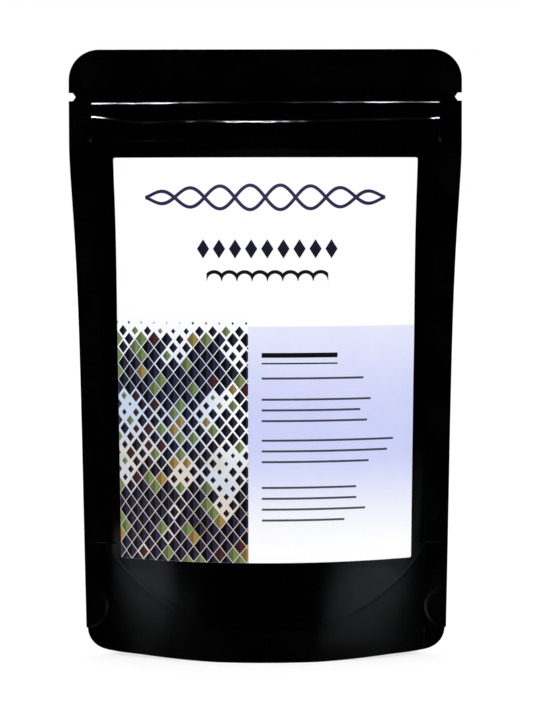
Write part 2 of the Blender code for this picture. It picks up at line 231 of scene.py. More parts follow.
class PouchColours(bpy.types.PropertyGroup):
    """Colours of the pouch that a user would change."""

    film: colour("Film", "Black film", (0.0001, 0.0001, 0.00013))
    seal: colour("Seal", "Film where it is sealed", (0.0007, 0.0007, 0.0009))
    edge: colour("Cut edge", "Cut and rubbed edges of the film", (0.012, 0.012, 0.013))
    # The crease colour is a painted highlight: paler film along the gusset's crease and the punch-out
    # rims.
    crease: colour("Crease", "Film stressed pale along a fold", (0.0085, 0.009, 0.0095))
    zip: colour("Zip", "Milky zip plastic", (0.62, 0.63, 0.64))
    paper: colour("Paper", "Label stock", (0.95, 0.95, 0.95))
    violet: colour("Violet ink", "Braid at the top of the label", screen(30, 6, 84))
    navy: colour("Navy ink", "Row of lozenges", screen(8, 6, 46))
    black: colour("Black ink", "Arches and ruled lines", screen(12, 11, 20))
    lavender: colour("Lavender", "Tinted field at the lower right", screen(199, 204, 243))
    tile_dark: colour("Dark tile", "Darker half of a navy tile", screen(7, 7, 16))
    tile_light: colour("Light tile", "Lighter half of a navy tile", screen(34, 31, 66))
    leaf: colour("Green tile", "Green tiles", screen(112, 132, 72))
    ochre: colour("Ochre tile", "Ochre tiles", screen(156, 128, 56))
    wine: colour("Wine tile", "Wine red tiles", screen(74, 28, 34))
    cream: colour("Cream haze", "Warm haze behind the tiles", screen(214, 203, 192))
    haze: colour("Blue haze", "Cool haze behind the tiles", screen(192, 206, 228))
    berry: colour("Berry", "Dried berries", (0.016, 0.010, 0.022))
    bloom: colour("Bloom", "Pale bloom on the berries", (0.09, 0.085, 0.13))
    floor: colour("Floor", "Floor and backdrop", (0.9, 0.9, 0.9))


class PouchStudio(bpy.types.PropertyGroup):
    """Camera and light of the studio."""

    distance: length("Camera distance", "From the pouch's middle plane", 1000 * MM)
    height: length("Camera height", "Above the floor", 160 * MM)
    aside: length("Camera offset", "To the right of the pouch's middle", 0.24 * MM)
    pitch: angle("Pitch", "Camera's tilt down", 3.452)
    roll: angle("Roll", "Camera's roll", -0.1)
    lens: share("Lens", "Focal length in mm", 152.65, 1000.0)
    daylight: share("Daylight", "Strength of the even white light", 1.12, 10.0)
    cards: share("Cards", "Brightness of the low cards beside the camera", 0.5, 100.0)
    overhead: share("Overhead", "Brightness of the softbox above", 60.0, 500.0)
    rear: share("Rear cards", "Brightness of the tall cards behind", 0.9, 100.0)


# Small sums


def smooth(value, start, end):
    """0 before start, 1 after end, with a soft ramp between."""
    part = min(max((value - start) / (end - start), 0.0), 1.0)
    return part * part * (3 - 2 * part)


def between(value, start, full, fading, gone):
    """1 from full to fading, with soft ramps from start and to gone."""
    return smooth(value, start, full) * (1 - smooth(value, fading, gone))


def bell(value, width):
    """1 at zero, falling off softly on both sides."""
    return math.exp(-((value / width) ** 2))


def spread(start, end, steps):
    """The evenly spaced values from start to end, both included."""
    return [start + (end - start) * step / steps for step in range(steps + 1)]


def mirrored(values):
    """The values, negated, with their mirror images, in order, for a list that ends at zero."""
    return [-value for value in values] + list(reversed(values[:-1]))


def ripple(across, up, size, seed):
    """A smooth random height between -1 and 1 whose dents are about size wide."""
    return noise.noise(Vector((across / size, up / size, seed)))


# The pouch's form


def half_outline(up):
    """Half the film's flat width at a height, with the die-cut corners and the tear notches."""
    from_top = up - (POUCH_HEIGHT - TOP_CORNER)
    if from_top > 0:
        reach = math.sqrt(max(TOP_CORNER**2 - from_top**2, LEAST_CORNER**2))
        return HALF_WIDTH - TOP_CORNER + reach
    if up <= BOTTOM_CORNER:
        reach = math.sqrt(BOTTOM_CORNER**2 - (BOTTOM_CORNER - up) ** 2)
        return HALF_WIDTH - DIE_STEP - BOTTOM_CORNER + reach
    step = DIE_STEP * (1 - min((up - BOTTOM_CORNER) / DIE_STEP_RISE, 1.0))
    off_notch = abs(up - NOTCH_HEIGHT)
    if off_notch > NOTCH_HALF + NOTCH_WALL / 2:
        return HALF_WIDTH - step
    return HALF_WIDTH - NOTCH_STRAIGHT - NOTCH_POINT * (1 - off_notch / NOTCH_HALF)


def fitted(column, up):
    """A column's place at a height, drawn in where the outline narrows."""
    inner = HALF_WIDTH - TOP_CORNER
    if abs(column) <= inner:
        return column
    part = (abs(column) - inner) / (HALF_WIDTH - inner)
    return math.copysign(inner + (half_outline(up) - inner) * part, column)


def seal_top(across):
    """How far up the gusset is sealed to a panel: low in the middle, up to the fold at the sides."""
    part = min(abs(across) / SEAL_INNER, 1.0)
    return GUSSET_SEAL_MIDDLE + (GUSSET_FOLD - GUSSET_SEAL_MIDDLE) * part**GUSSET_SEAL_POWER


def seal_slope(across):
    """How steeply that seal's top edge climbs."""
    part = min(abs(across) / SEAL_INNER, 1.0)
    rise = GUSSET_FOLD - GUSSET_SEAL_MIDDLE
    return rise * GUSSET_SEAL_POWER * part ** (GUSSET_SEAL_POWER - 1) / SEAL_INNER


def bulge_share(up):
    """The bulge at a height as a share of the deepest one."""
    part = (BULGE_TOP - max(up, SKIRT_HEIGHT)) / BULGE_TOP
    if part <= 0:
        return 0.0
    part = math.hypot(part, BULGE_SOFT_START) - BULGE_SOFT_START
    quick = 1 - math.exp(-part / BULGE_QUICK_REACH)
    return BULGE_QUICK_SHARE * quick + (1 - BULGE_QUICK_SHARE) * part


def height(across, up):
    """The height above the floor of a point on the film."""
    part = max(abs(across) - EDGE_LIFT_START, 0.0) / EDGE_LIFT_REACH
    fade = max(1 - up / GUSSET_FOLD, 0.0) ** 2
    drop = 1 - EDGE_LIFT_DROP * smooth(abs(across), *EDGE_DROP_ZONE)
    return up + EDGE_LIFT * part**EDGE_LIFT_POWER * fade * drop


def tape_share(across, up, side):
    """How much of its lift the zip's tape gives the film: less in the calm middle, more to the left. Its
    upper edge is crisp in the middle, and rounder towards both sides."""
    calm = bell(across - CALM_MIDDLE, CALM_REACH)
    fuller = smooth(-across, *FULLER_LEFT)
    slack = smooth(across, *SLACK_RIGHT)
    pull = 1 + (0.3 - 0.2 * slack) * ripple(across, 0, 9 * MM, 3.7 + side)
    lean = (0.25 - 0.25 * smooth(-across, *LEVEL_LEFT) - 0.22 * fuller) * MM
    edge = (0.8 + 0.3 * calm + 0.55 * fuller + 0.38 * slack) * MM * pull
    tape = smooth(up, ZIP_TAPE_LOW - ZIP_LOWER_EDGE, ZIP_TAPE_LOW)
    tape *= 1 - smooth(up - lean, ZIP_TAPE_HIGH, ZIP_TAPE_HIGH + edge)
    return tape * (1 - 0.35 * calm + 0.3 * fuller)


def ridge_firmness(across, side):
    """How firmly the zip's profile shows: broken up in the middle, in faint dashes, and at both ends."""
    crisp = between(across, *CRISP_ZONE) * (0.64 + 0.4 * ripple(across, 1, 2.6 * MM, 8.1 + side))
    dashes = 0.56 * smooth(ripple(across, 2, 7 * MM, 4.4 + side), -0.1, 0.4)
    dashes *= 1 - 0.5 * max(bell(across - FAINT_MIDDLE, FAINT_REACH), smooth(across, *FAINT_RIGHT))
    ends = 0.68 * smooth(abs(across), *FIRM_ENDS[-1 if across < 0 else 1])
    return min(max(crisp, dashes, ends), 1.0)


def ridge_flare(across):
    """How far the upper slope of the zip's profile moves up towards its ends."""
    if across >= 0:
        return sum(rise * smooth(across, start, end) for rise, start, end in FLARES_RIGHT)
    rise, start, end = FLARE_LEFT
    dip, middle, reach = FLARE_DIP
    return rise * smooth(-across, start, end) - dip * bell(across - middle, reach)


class PouchForm:
    """Where the film lies. side is -1 on the front and 1 on the back."""

    def __init__(self, sizes):
        self.sizes = sizes
        self.layer = sizes.film + AIR
        self.spare = HALF_DEPTH - self.layer - BULGE_DEPTH * bulge_share(SKIRT_HEIGHT)
        self.arcs = {}

    def arc(self, up):
        """The radius and half angle of the arc that a row of film takes, or None where it is flat."""
        if up not in self.arcs:
            sag = BULGE_DEPTH * bulge_share(up) / SEAL_INNER
            angle = 2 * sag
            for _ in range(8 if sag > 1e-6 else 0):
                error = (1 - math.cos(angle)) / angle - sag
                angle -= error * angle**2 / (angle * math.sin(angle) - 1 + math.cos(angle))
            self.arcs[up] = (SEAL_INNER / angle, angle) if sag > 1e-6 else None
        return self.arcs[up]

    def bow(self, across, up):
        """A film point after the bulge: its sideways place and its distance off the seal plane."""
        arc = self.arc(up)
        if arc is None:
            return across, 0.0
        radius, angle = arc
        inner = min(abs(across), SEAL_INNER)
        turn = inner / radius
        sideways = radius * math.sin(turn) + abs(across) - inner
        sideways += self.squareness(inner / SEAL_INNER, up)
        fuller = self.spare * bulge_share(up) / bulge_share(SKIRT_HEIGHT) * (1 - (turn / angle) ** 2)
        return math.copysign(sideways, across), radius * (math.cos(turn) - math.cos(angle)) + fuller

    def squareness(self, part, up):
        """How far the film stands further out than an arc near the sides, where the label stiffens it."""
        return SQUARENESS * 4 * part**4 * (1 - part**4) * (1 - smooth(up, *SQUARE_ZONE))

    def gusset_lift(self, across, up):
        """What the gusset between the side seals adds, with the bead at its fold and the punch-outs."""
        near_side = smooth(abs(across), GUSSET_STEP_INNER, SEAL_INNER)
        if near_side == 0 or up > GUSSET_FOLD + FOLD_STEP:
            return 0.0
        below_fold = 1 - smooth(up, GUSSET_FOLD, GUSSET_FOLD + FOLD_STEP)
        from_punch = math.hypot(abs(across) - HALF_WIDTH - PUNCH_OUTSET, up - PUNCH_HEIGHT) - PUNCH_RADIUS
        upper = smooth(up - PUNCH_HEIGHT, 0, PUNCH_RADIUS)
        kept = smooth(from_punch, -PUNCH_STEP * (1 + PUNCH_UPPER_SOFTNESS * upper), 0)
        rim = PUNCH_RIM_SHARE * (1 - upper) * bell(from_punch - FOLD_BEAD, FOLD_BEAD)
        beads = bell(up - GUSSET_FOLD + FOLD_BEAD, FOLD_BEAD) + rim
        return near_side * (self.layer * below_fold * kept + self.sizes.fold_bead * beads)

    def zip_lift(self, across, up, side):
        """How far the zip raises the film: its tape, and the profile's ridge along the middle."""
        along = 1 - smooth(abs(across), ZIP_HALF_LENGTH, ZIP_HALF_LENGTH + ZIP_END)
        if along == 0 or not ZIP_REACH[0] < up < ZIP_REACH[1]:
            return 0.0
        tape = tape_share(across, up, side)
        firm = ridge_firmness(across, side)
        off_ridge = abs(up - ZIP_CENTRE)
        width = ZIP_RIDGE_FOOT
        if up > ZIP_CENTRE:
            off_ridge -= ridge_flare(across)
            width = ZIP_SOFT_SLOPE - (ZIP_SOFT_SLOPE - ZIP_FIRM_SLOPE) * firm
        half = ZIP_RIDGE_HALF[side]
        ridge = 1 - smooth(off_ridge, half, half + width)
        pucker = ZIP_PUCKER * tape * ripple(across, up * 2, 6 * MM, 6.3 + side)
        swell = self.sizes.ridge_lift * (1 + ZIP_FIRM_SWELL * firm)
        return along * (self.sizes.tape_lift * tape + swell * ridge + pucker)

    def crease_lift(self, across, up):
        """The crease along the gusset's seal, and the film below it drawn in a little."""
        fade = smooth(SEAL_INNER - abs(across), 0, CREASE_FADE)
        off_line = (up - seal_top(across)) / math.hypot(1, seal_slope(across))
        seen = smooth(abs(across), *CREASE_START)
        crease = self.sizes.crease * bell(off_line, CREASE_WIDTH) * seen
        return fade * (crease - self.sizes.tuck * smooth(-off_line, 0, TUCK_REACH))

    def dents(self, across, up, side):
        """The soft dents of the free film, deeper at the shoulders and over the gusset's corners."""
        free = smooth(SEAL_INNER - abs(across), 0, 7 * MM)
        free *= between(up, *DENTED_ZONE)
        if free == 0:
            return 0.0
        shoulder = bell(up - SHOULDER_HEIGHT[0], SHOULDER_HEIGHT[1]) * smooth(abs(across), *SHOULDER_SIDE)
        corner = bell(up - CORNER_HEIGHT[0], CORNER_HEIGHT[1]) * smooth(abs(across), *CORNER_SIDE)
        broad = ripple(across, up * 0.8, BROAD_DENT, 1.3 + side)
        fine = ripple(across + up * 0.6, up, FINE_DENT, 5.9 + side)
        return free * self.sizes.ripple * (broad + (shoulder + corner) * fine)

    def sway(self, across, up):
        """How far the flat seals and the top wave front to back, both panels together."""
        flat = smooth(abs(across), SEAL_INNER - 4 * MM, HALF_WIDTH)
        flat = max(flat, smooth(up, ZIP_TAPE_HIGH, POUCH_HEIGHT))
        return self.sizes.sway * flat * ripple(across, up, 34 * MM, 2.2)

    def outer(self, across, up, side):
        """A point on the outer face of a panel."""
        sideways, off_plane = self.bow(across, up)
        off_plane += self.layer + self.gusset_lift(across, up) + self.zip_lift(across, up, side)
        off_plane += self.crease_lift(across, up) + self.dents(across, up, side)
        return Vector((sideways, side * off_plane + self.sway(across, up), height(across, up)))

    def outward(self, across, up, side):
        """The direction in which a panel faces at a point."""
        step = 0.2 * MM
        along = self.outer(across + step, up, side) - self.outer(across - step, up, side)
        upwards = self.outer(across, up + step, side) - self.outer(across, up - step, side)
        return (along.cross(upwards) * -side).normalized()

    def inside(self, across, up, side, off_face):
        """A point that far inside a panel's outer face."""
        return self.outer(across, up, side) - self.outward(across, up, side) * off_face

    def leaf(self, across, part, side):
        """A point of the gusset's free leaf, part 0 at its seal and 1 at the middle fold."""
        start = self.inside(across, seal_top(across), side, self.layer + self.sizes.film / 2)
        side_share = min(abs(across) / SEAL_INNER, 1.0)
        fold = GUSSET_FOLD_MIDDLE + (GUSSET_FOLD - GUSSET_FOLD_MIDDLE) * side_share**2
        sag = GUSSET_SAG * (1 - side_share**2) * SAG_PEAK * part**2 * (1 - part)
        climb = math.sin(math.pi / 2 * part)
        bow = (1 - side_share) * 4 * part * (1 - part)
        dent = GUSSET_DENT * bow * ripple(across, part * 0.03, 13 * MM, side)
        rise = start.z + (fold - start.z) * climb - sag + dent
        return Vector((start.x, start.y * math.cos(math.pi / 2 * part), rise))


# Mesh helpers

# Edges of film over this angle are kept crisp, in degrees
CRISP_ANGLE = 21


def sheet_mesh(columns, rows, place, flat, marks):
    """An open grid of columns by rows. place(column, row) gives each point, flat(column, row) its place
    on the flat film for the map, and each of marks a value that the point keeps for the materials."""
    bm = bmesh.new()
    wide = len(columns) - 1
    tall = len(rows) - 1
    bmesh.ops.create_grid(bm, x_segments=wide, y_segments=tall, size=0.5)
    flat_map = bm.loops.layers.uv.new(FLAT_MAP)
    layers = {name: bm.verts.layers.float.new(name) for name in marks}
    flats = []
    for vertex in bm.verts:
        column = columns[round((vertex.co.x + 0.5) * wide)]
        row = rows[round((vertex.co.y + 0.5) * tall)]
        vertex.co = place(column, row)
        flats.append(flat(column, row))
        for name, layer in layers.items():
            vertex[layer] = marks[name](column, row)
    bm.verts.index_update()
    for face in bm.faces:
        for loop in face.loops:
            across, up = flats[loop.vert.index]
            loop[flat_map].uv = (across / FLAT_SCALE, up / FLAT_SCALE)
    mesh = bpy.data.meshes.new("sheet")
    bm.to_mesh(mesh)
    bm.free()
    return mesh


def show(name, mesh, material):
    """The object of a mesh in the scene, with its material."""
    mesh.name = name
    mesh.materials.clear()
    mesh.materials.append(material)
    piece = bpy.data.objects.new(name, mesh)
    bpy.context.scene.collection.objects.link(piece)
    return piece


def film_piece(name, mesh, material, thickness, offset):
    """The finished piece of an open sheet, with its thickness and smooth shading. offset -1 makes it grow
    inwards from the sheet, 0 half to each side."""
    piece = show(name, mesh, material)
    solidify = piece.modifiers.new("film", "SOLIDIFY")
    solidify.thickness = thickness
    solidify.offset = offset
    solidify.use_even_offset = True
    solidify.use_quality_normals = True
    found = piece.evaluated_get(bpy.context.evaluated_depsgraph_get())
    film = bpy.data.meshes.new_from_object(found)
    if not film.polygons:
        raise RuntimeError(f"{name} came out empty.")
    piece.modifiers.clear()
    piece.data = film
    bpy.data.meshes.remove(mesh)
    film.name = name
    film.shade_smooth()
    film.set_sharp_from_angle(angle=math.radians(CRISP_ANGLE))
    return piece


def place_in_frame(piece, slot, *nodes):
    """Puts a finished piece on the pouch's body in place of the nodes that it stands for."""
    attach(piece, "root")
    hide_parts(*nodes)


# Node helpers


def feed(tree, value, slot):
    """Links a field or a socket to a slot, or sets the slot's own value."""
    if isinstance(value, Field):
        value = value.socket
    if isinstance(value, bpy.types.NodeSocket):
        tree.links.new(value, slot)
    else:
        slot.default_value = value


def feed_all(tree, node, values):
    """Feeds a node's inputs by their names."""
    for name, value in values.items():
        feed(tree, value, node.inputs[name])


def new_node(tree, kind, *values, **traits):
    """A shader node with its traits set and its first inputs fed in order."""
    node = tree.nodes.new("ShaderNode" + kind)
    for trait, value in traits.items():
        setattr(node, trait, value)
    for slot, value in zip(node.inputs, values):
        feed(tree, value, slot)
    return node


class Field:
    """A number that changes over a surface. Sums of fields add maths nodes, so they read as formulas."""

    def __init__(self, tree, socket):
        self.tree = tree
        self.socket = socket

    def maths(self, operation, *others):
        """A maths node on this field and the others."""
        node = new_node(self.tree, "Math", self, *others, operation=operation)
        return Field(self.tree, node.outputs[0])

    def __add__(self, other):
        return self.maths("ADD", other)

    def __sub__(self, other):
        return self.maths("SUBTRACT", other)

    def __rsub__(self, other):
        return (self * -1) + other

    def __mul__(self, other):
        return self.maths("MULTIPLY", other)

    def __truediv__(self, other):
        return self.maths("DIVIDE", other)

    def size(self):
        """The number without its sign."""
        return self.maths("ABSOLUTE")

    def highest(self, other):
        """The larger of the two."""
        return self.maths("MAXIMUM", other)

    def lowest(self, other):
        """The smaller of the two."""
        return self.maths("MINIMUM", other)

    def rise(self, low, high):
        """0 below low and 1 above high, with a soft ramp between."""
        node = new_node(self.tree, "MapRange", self, low, high, interpolation_type="SMOOTHSTEP")
        return Field(self.tree, node.outputs["Result"])

    def fade(self, low, high):
        """1 below low and 0 above high, with a soft ramp between."""
        return 1 - self.rise(low, high)

    def cells(self, pitch):
        """The cell number along this field, and the place in the cell from its middle."""
        steps = self / pitch
        number = steps.maths("FLOOR")
        return number, (steps - number - 0.5) * pitch

    def counted(self, count):
        """1 where this cell number is from 0 up to the count, 0 elsewhere."""
        return self.rise(-0.6, -0.4) * self.fade(count - 0.6, count - 0.4)


def distance(first, second):
    """The length of the step made of two fields."""
    return (first * first + second * second).maths("SQRT")


def vector(tree, *parts):
    """A vector of up to three fields or numbers."""
    return new_node(tree, "CombineXYZ", *parts).outputs[0]


def apart(tree, place):
    """The x, y and z of a vector, as fields."""
    return [Field(tree, part) for part in new_node(tree, "SeparateXYZ", place).outputs]


def scaled(tree, place, x, y, z):
    """A vector whose x, y and z are multiplied by their own factors."""
    return new_node(tree, "VectorMath", place, (x, y, z), operation="MULTIPLY").outputs[0]


def flat_place(tree):
    """The place on the flat film or label in millimetres: as a vector, and as two fields."""
    uv = new_node(tree, "UVMap", uv_map=FLAT_MAP).outputs[0]
    place = scaled(tree, uv, FLAT_SCALE / MM, FLAT_SCALE / MM, 1.0)
    return place, *apart(tree, place)[:2]


def solid_place(tree):
    """The place in the pouch in millimetres, as a vector."""
    return scaled(tree, new_node(tree, "TexCoord").outputs["Object"], 1 / MM, 1 / MM, 1 / MM)


def cloud(tree, place, size, detail=2.0, roughness=0.5):
    """Soft random values between 0 and 1 with patches about size wide."""
    scale = size.maths("POWER", -1) if isinstance(size, Field) else 1 / size
    node = new_node(tree, "TexNoise")
    feed_all(tree, node, {"Vector": place, "Scale": scale, "Detail": detail, "Roughness": roughness})
    return Field(tree, node.outputs[0])


def chance(tree, *numbers):
    """A random value between 0 and 1 for each set of one to three whole numbers."""
    return Field(tree, new_node(tree, "TexWhiteNoise", vector(tree, *numbers)).outputs["Value"])


def blend(tree, amount, base, top):
    """The base colour, with the top one over it by the amount."""
    node = new_node(tree, "Mix", amount, data_type="RGBA")
    for slot, value in ((node.inputs[6], base), (node.inputs[7], top)):
        feed(tree, value if isinstance(value, bpy.types.NodeSocket) else (*value, 1.0), slot)
    return node.outputs[2]


def mark(tree, name):
    """A value that the mesh's points keep."""
    return Field(tree, new_node(tree, "Attribute", attribute_name=name).outputs["Fac"])


def bump(tree, heights, depth):
    """A normal from heights, with depth in metres for a height of 1."""
    node = new_node(tree, "Bump")
    feed_all(tree, node, {"Distance": depth, "Height": heights})
    return node.outputs[0]


def new_material(name):
    """A material with its node tree and its Principled shader."""
    material = bpy.data.materials.new(name)
    material.use_nodes = True
    tree = material.node_tree
    return material, tree, tree.nodes["Principled BSDF"]


# Effects that several materials share


# Each effect by its name: what draws it, its output's name and its inputs with their defaults
EFFECTS = {}


def effect(title, output, **inputs):
    """Keeps the function below as an effect that use() turns into a shader node group."""

    def keep(draw):
        EFFECTS[title] = (draw, output, inputs)
        return draw

    return keep


def effect_group(title):
    """The node group of an effect, with a place input, named number inputs and one output."""
    draw, output, inputs = EFFECTS[title]
    group = bpy.data.node_groups.new(title, "ShaderNodeTree")
    group.interface.new_socket("Place", in_out="INPUT", socket_type="NodeSocketVector")
    for name, default in inputs.items():
        socket = group.interface.new_socket(name, in_out="INPUT", socket_type="NodeSocketFloat")
        socket.default_value = default
    group.interface.new_socket(output, in_out="OUTPUT", socket_type="NodeSocketFloat")
    entry = group.nodes.new("NodeGroupInput")
    fields = [Field(group, entry.outputs[name]) for name in inputs]
    drawn = draw(group, entry.outputs["Place"], *fields)
    feed(group, drawn, group.nodes.new("NodeGroupOutput").inputs[0])
    return group


def use(tree, title, place, **values):
    """Places an effect's group, made on first use, with its own values, and gives its output."""
    group = bpy.data.node_groups.get(title) or effect_group(title)
    node = new_node(tree, "Group", node_tree=group)
    feed_all(tree, node, {"Place": place, **values})
    return Field(tree, node.outputs[0])


@effect("Film grain", "Height", Size=0.3, Coarse=0.4)
def draw_grain(tree, place, size, coarse):
    """Fine satin grain: two sizes of soft noise."""
    fine = cloud(tree, place, size)
    broad = cloud(tree, place, size * 5, 1.0)
    return fine * (1 - coarse) + broad * coarse


@effect("Seal hatch", "Height", Pitch=0.8, Lean=1.0)
def draw_hatch(tree, place, pitch, lean):
    """Fine slanted ridges, as a sealing bar presses them."""
    x, y, _ = apart(tree, place)
    wobble = cloud(tree, place, 6.0, 1.0) * 0.5
    _, off_ridge = ((x + y * lean) * (1 / math.sqrt(2)) + wobble).cells(pitch)
    return (off_ridge / pitch).size().fade(0.05, 0.5)


# Real wear at cut edges, and a painted highlight where it is used along a crease.
@effect("Edge wear", "Share", Distance=5.0, Width=0.3, Patch=1.6)
def draw_edge_wear_and_painted_highlight(tree, place, off_edge, width, patch):
    """Pale patches along a rubbed edge, or a painted highlight along a crease, from the distance to it."""
    return (off_edge / width).fade(0.2, 1.0) * cloud(tree, place, patch, 3.0).rise(0.35, 0.62)


@effect("Dust", "Share", Spacing=6.0, Size=0.16)
def draw_dust(tree, place, spacing, size):
    """A few pale specks: the middle of one cell in three or so, most of them tiny."""
    node = new_node(tree, "TexVoronoi")
    feed_all(tree, node, {"Vector": place, "Scale": spacing.maths("POWER", -1)})
    draws = new_node(tree, "SeparateColor", node.outputs["Color"])
    off_speck = Field(tree, node.outputs["Distance"]) * spacing
    reach = size * Field(tree, draws.outputs[0])
    kept = Field(tree, draws.outputs[1]).rise(0.68, 0.7)
    return (reach - off_speck).rise(0.0, 0.05) * kept


@effect("Ruled lines", "Share", Left=0.0, Low=0.0, Count=3.0, Pitch=3.5, Longest=40.0, Stroke=0.4)
def draw_ruled_lines(tree, place, left, low, count, pitch, longest, stroke):
    """Plain ruled lines of uneven length, one above the other."""
    x, y, _ = apart(tree, place)
    along = x - left
    row, off_line = (y - low).cells(pitch)
    inside = row.rise(-0.6, -0.4) * (count - row).rise(0.4, 0.6)
    reach = longest * (1 - chance(tree, row, low) * 0.3)
    drawn = off_line.size().fade(stroke * 0.5, stroke * 0.5 + INK_EDGE)
    drawn = drawn * along.rise(0.0, INK_EDGE) * (reach - along).rise(0.0, INK_EDGE)
    return drawn * inside


# Materials

FILM_ROUGHNESS = 0.12
GRAIN_DEPTH = 0.016 * MM
HATCH_SHARE = 1.3
SPECK_GREY = (0.5, 0.5, 0.5)
SPECK_BROWN = (0.2, 0.16, 0.12)
WORN_PAPER = (0.55, 0.55, 0.56)


def off_crease(x, y):
    """The distance to the crease along the gusset's seal and to its fold at the sides, in millimetres."""
    part = ((x - HALF_WIDTH / MM).size() / (SEAL_INNER / MM)).lowest(1.0)
    rise = (GUSSET_FOLD - GUSSET_SEAL_MIDDLE) / MM
    line = part.maths("POWER", GUSSET_SEAL_POWER) * rise + GUSSET_SEAL_MIDDLE / MM
    return (y - line).size() + part.fade(0.55, 0.8) + part.rise(0.94, 0.96) * 0.1


def off_punch(x, y):
    """The distance to the rim of the nearer punch-out in the gusset, in millimetres."""
    across = (x - HALF_WIDTH / MM).size() - (HALF_WIDTH + PUNCH_OUTSET) / MM
    off = (distance(across, y - PUNCH_HEIGHT / MM) - PUNCH_RADIUS / MM).size()
    return off + (y - PUNCH_HEIGHT / MM).rise(0.0, PUNCH_RADIUS / MM)


def film_material(name, colours, grain_size):
    """Black laminated film: satin with a fine grain, hatched where it is sealed, pale at rubbed edges, and
    a painted highlight along the gusset's crease and punch rims.
    """
    material, tree, shader = new_material(name)
    place, x, y = flat_place(tree)
    seal = mark(tree, SEAL_MARK)
    grain = use(tree, "Film grain", place, Size=grain_size, Coarse=0.45)
    hatch = use(tree, "Seal hatch", place, Pitch=0.75, Lean=1.0)
    wear = use(tree, "Edge wear", place, Distance=mark(tree, EDGE_MARK), Width=0.35)
    fold = off_crease(x, y).lowest(off_punch(x, y))
    # Painted highlight: pale patches along the gusset's crease and the punch-out rims.
    painted_crease_highlight = use(tree, "Edge wear", place, Distance=fold, Width=0.45, Patch=7.0)
    dust = use(tree, "Dust", place, Spacing=9.0, Size=0.16)
    mottle = cloud(tree, place, 14.0, 1.5).rise(0.38, 0.66)
    base = blend(tree, seal * mottle, colours.film, colours.seal)
    base = blend(tree, wear * 0.7, base, colours.edge)
    base = blend(tree, painted_crease_highlight, base, colours.crease)
    base = blend(tree, dust * 0.25, base, SPECK_GREY)
    roughness = grain * 0.08 + mottle * 0.03 + wear * 0.2 + FILM_ROUGHNESS
    heights = grain * (1 - seal * 0.4) + hatch * seal * HATCH_SHARE
    normal = bump(tree, heights, GRAIN_DEPTH)
    feed_all(tree, shader, {"Base Color": base, "Roughness": roughness, "Normal": normal})
    return material


def zip_material(colours):
    """Milky extruded plastic with fine lines along its length."""
    material, tree, shader = new_material("zip plastic")
    place = solid_place(tree)
    lines = use(tree, "Film grain", scaled(tree, place, 0.05, 1.0, 1.0), Size=0.12, Coarse=0.2)
    milky = [value * 0.82 for value in colours.zip]
    base = blend(tree, cloud(tree, place, 7.0).rise(0.3, 0.7), milky, colours.zip)
    normal = bump(tree, lines, 0.02 * MM)
    feed_all(tree, shader, {"Base Color": base, "Roughness": lines * 0.15 + 0.25, "Normal": normal})
    feed_all(tree, shader, {"Subsurface Weight": 0.2, "Subsurface Radius": (0.0008, 0.0008, 0.0008)})
    return material


def berry_material(colours):
    """Wrinkled blue-black berries with a pale bloom."""
    material, tree, shader = new_material("dried berries")
    place = solid_place(tree)
    wrinkles = cloud(tree, place, 0.7, 4.0, 0.65)
    bloom = cloud(tree, place, 2.2, 3.0).rise(0.5, 0.75)
    dust = use(tree, "Dust", place, Spacing=5.0, Size=0.3)
    base = blend(tree, bloom * wrinkles * 0.6, colours.berry, colours.bloom)
    base = blend(tree, dust * 0.5, base, SPECK_BROWN)
    normal = bump(tree, wrinkles, 0.25 * MM)
    feed_all(tree, shader, {"Base Color": base, "Roughness": wrinkles * 0.3 + 0.5, "Normal": normal})
    return material


# The label's print, in millimetres from its lower left corner

INK_EDGE = 0.08
INK_SHARE = 0.92
BRAID_PLACE = (50.3, 119.4)
BRAID_HALF = 40.0
BRAID_SWING = 4.0
BRAID_WAVE = 20.0
BRAID_STROKE = 0.52
LOZENGE_ROW = (27.2, 102.6)
LOZENGE_PITCH = 5.28
LOZENGE_COUNT = 9
LOZENGE_HALF = (2.0, 3.1)
ARCH_ROW = (31.0, 92.2)
ARCH_PITCH = 5.0
ARCH_COUNT = 8
ARCH_RADIUS = 2.9
ARCH_STROKE = 0.55
FIELD_LEFT = 44.6
FIELD_TOP = 77.0
TITLE_BARS = ((67.9, 1.5), (65.2, 0.4))
TITLE_SPAN = (49.0, 74.0)
TEXT_LEFT = 49.0
TEXT_STROKE = 0.62
# Each group of ruled lines: its height, how many lines, their pitch and the longest
TEXT_GROUPS = ((58.6, 1, 3.5, 42.0), (44.7, 3, 3.5, 44.0), (31.3, 3, 3.5, 45.5), (12.2, 4, 3.55, 36.0))
TILE_WIDE = 4.4
TILE_TALL = 5.4
TILE_TOP = 80.0
TILE_SHARE = 0.54
TILE_GATHERED = 0.7
TILE_THINNED = 0.3
TILE_LARGEST = 0.96
# Each coloured tile: above which draw it comes, and its colour among the settings
TILE_TINTS = ((0.74, "leaf"), (0.88, "ochre"), (0.95, "wine"))
TILE_SHADOW = 0.55


def braid(x, y):
    """Two interlaced strands that taper to their ends."""
    along = x - BRAID_PLACE[0]
    off = y - BRAID_PLACE[1]
    part = along / BRAID_HALF
    taper = (1 - part * part).highest(0.0).maths("SQRT") * BRAID_SWING
    rate = 2 * math.pi / BRAID_WAVE
    strands = []
    for shift in (0.0, math.pi):
        turn = along * rate + shift
        slope = turn.maths("COSINE") * taper * rate
        off_strand = (off - turn.maths("SINE") * taper).size() / (slope * slope + 1).maths("SQRT")
        strands.append(off_strand.fade(BRAID_STROKE, BRAID_STROKE + INK_EDGE))
    return strands[0].highest(strands[1]) * along.size().fade(BRAID_HALF - 0.3, BRAID_HALF)


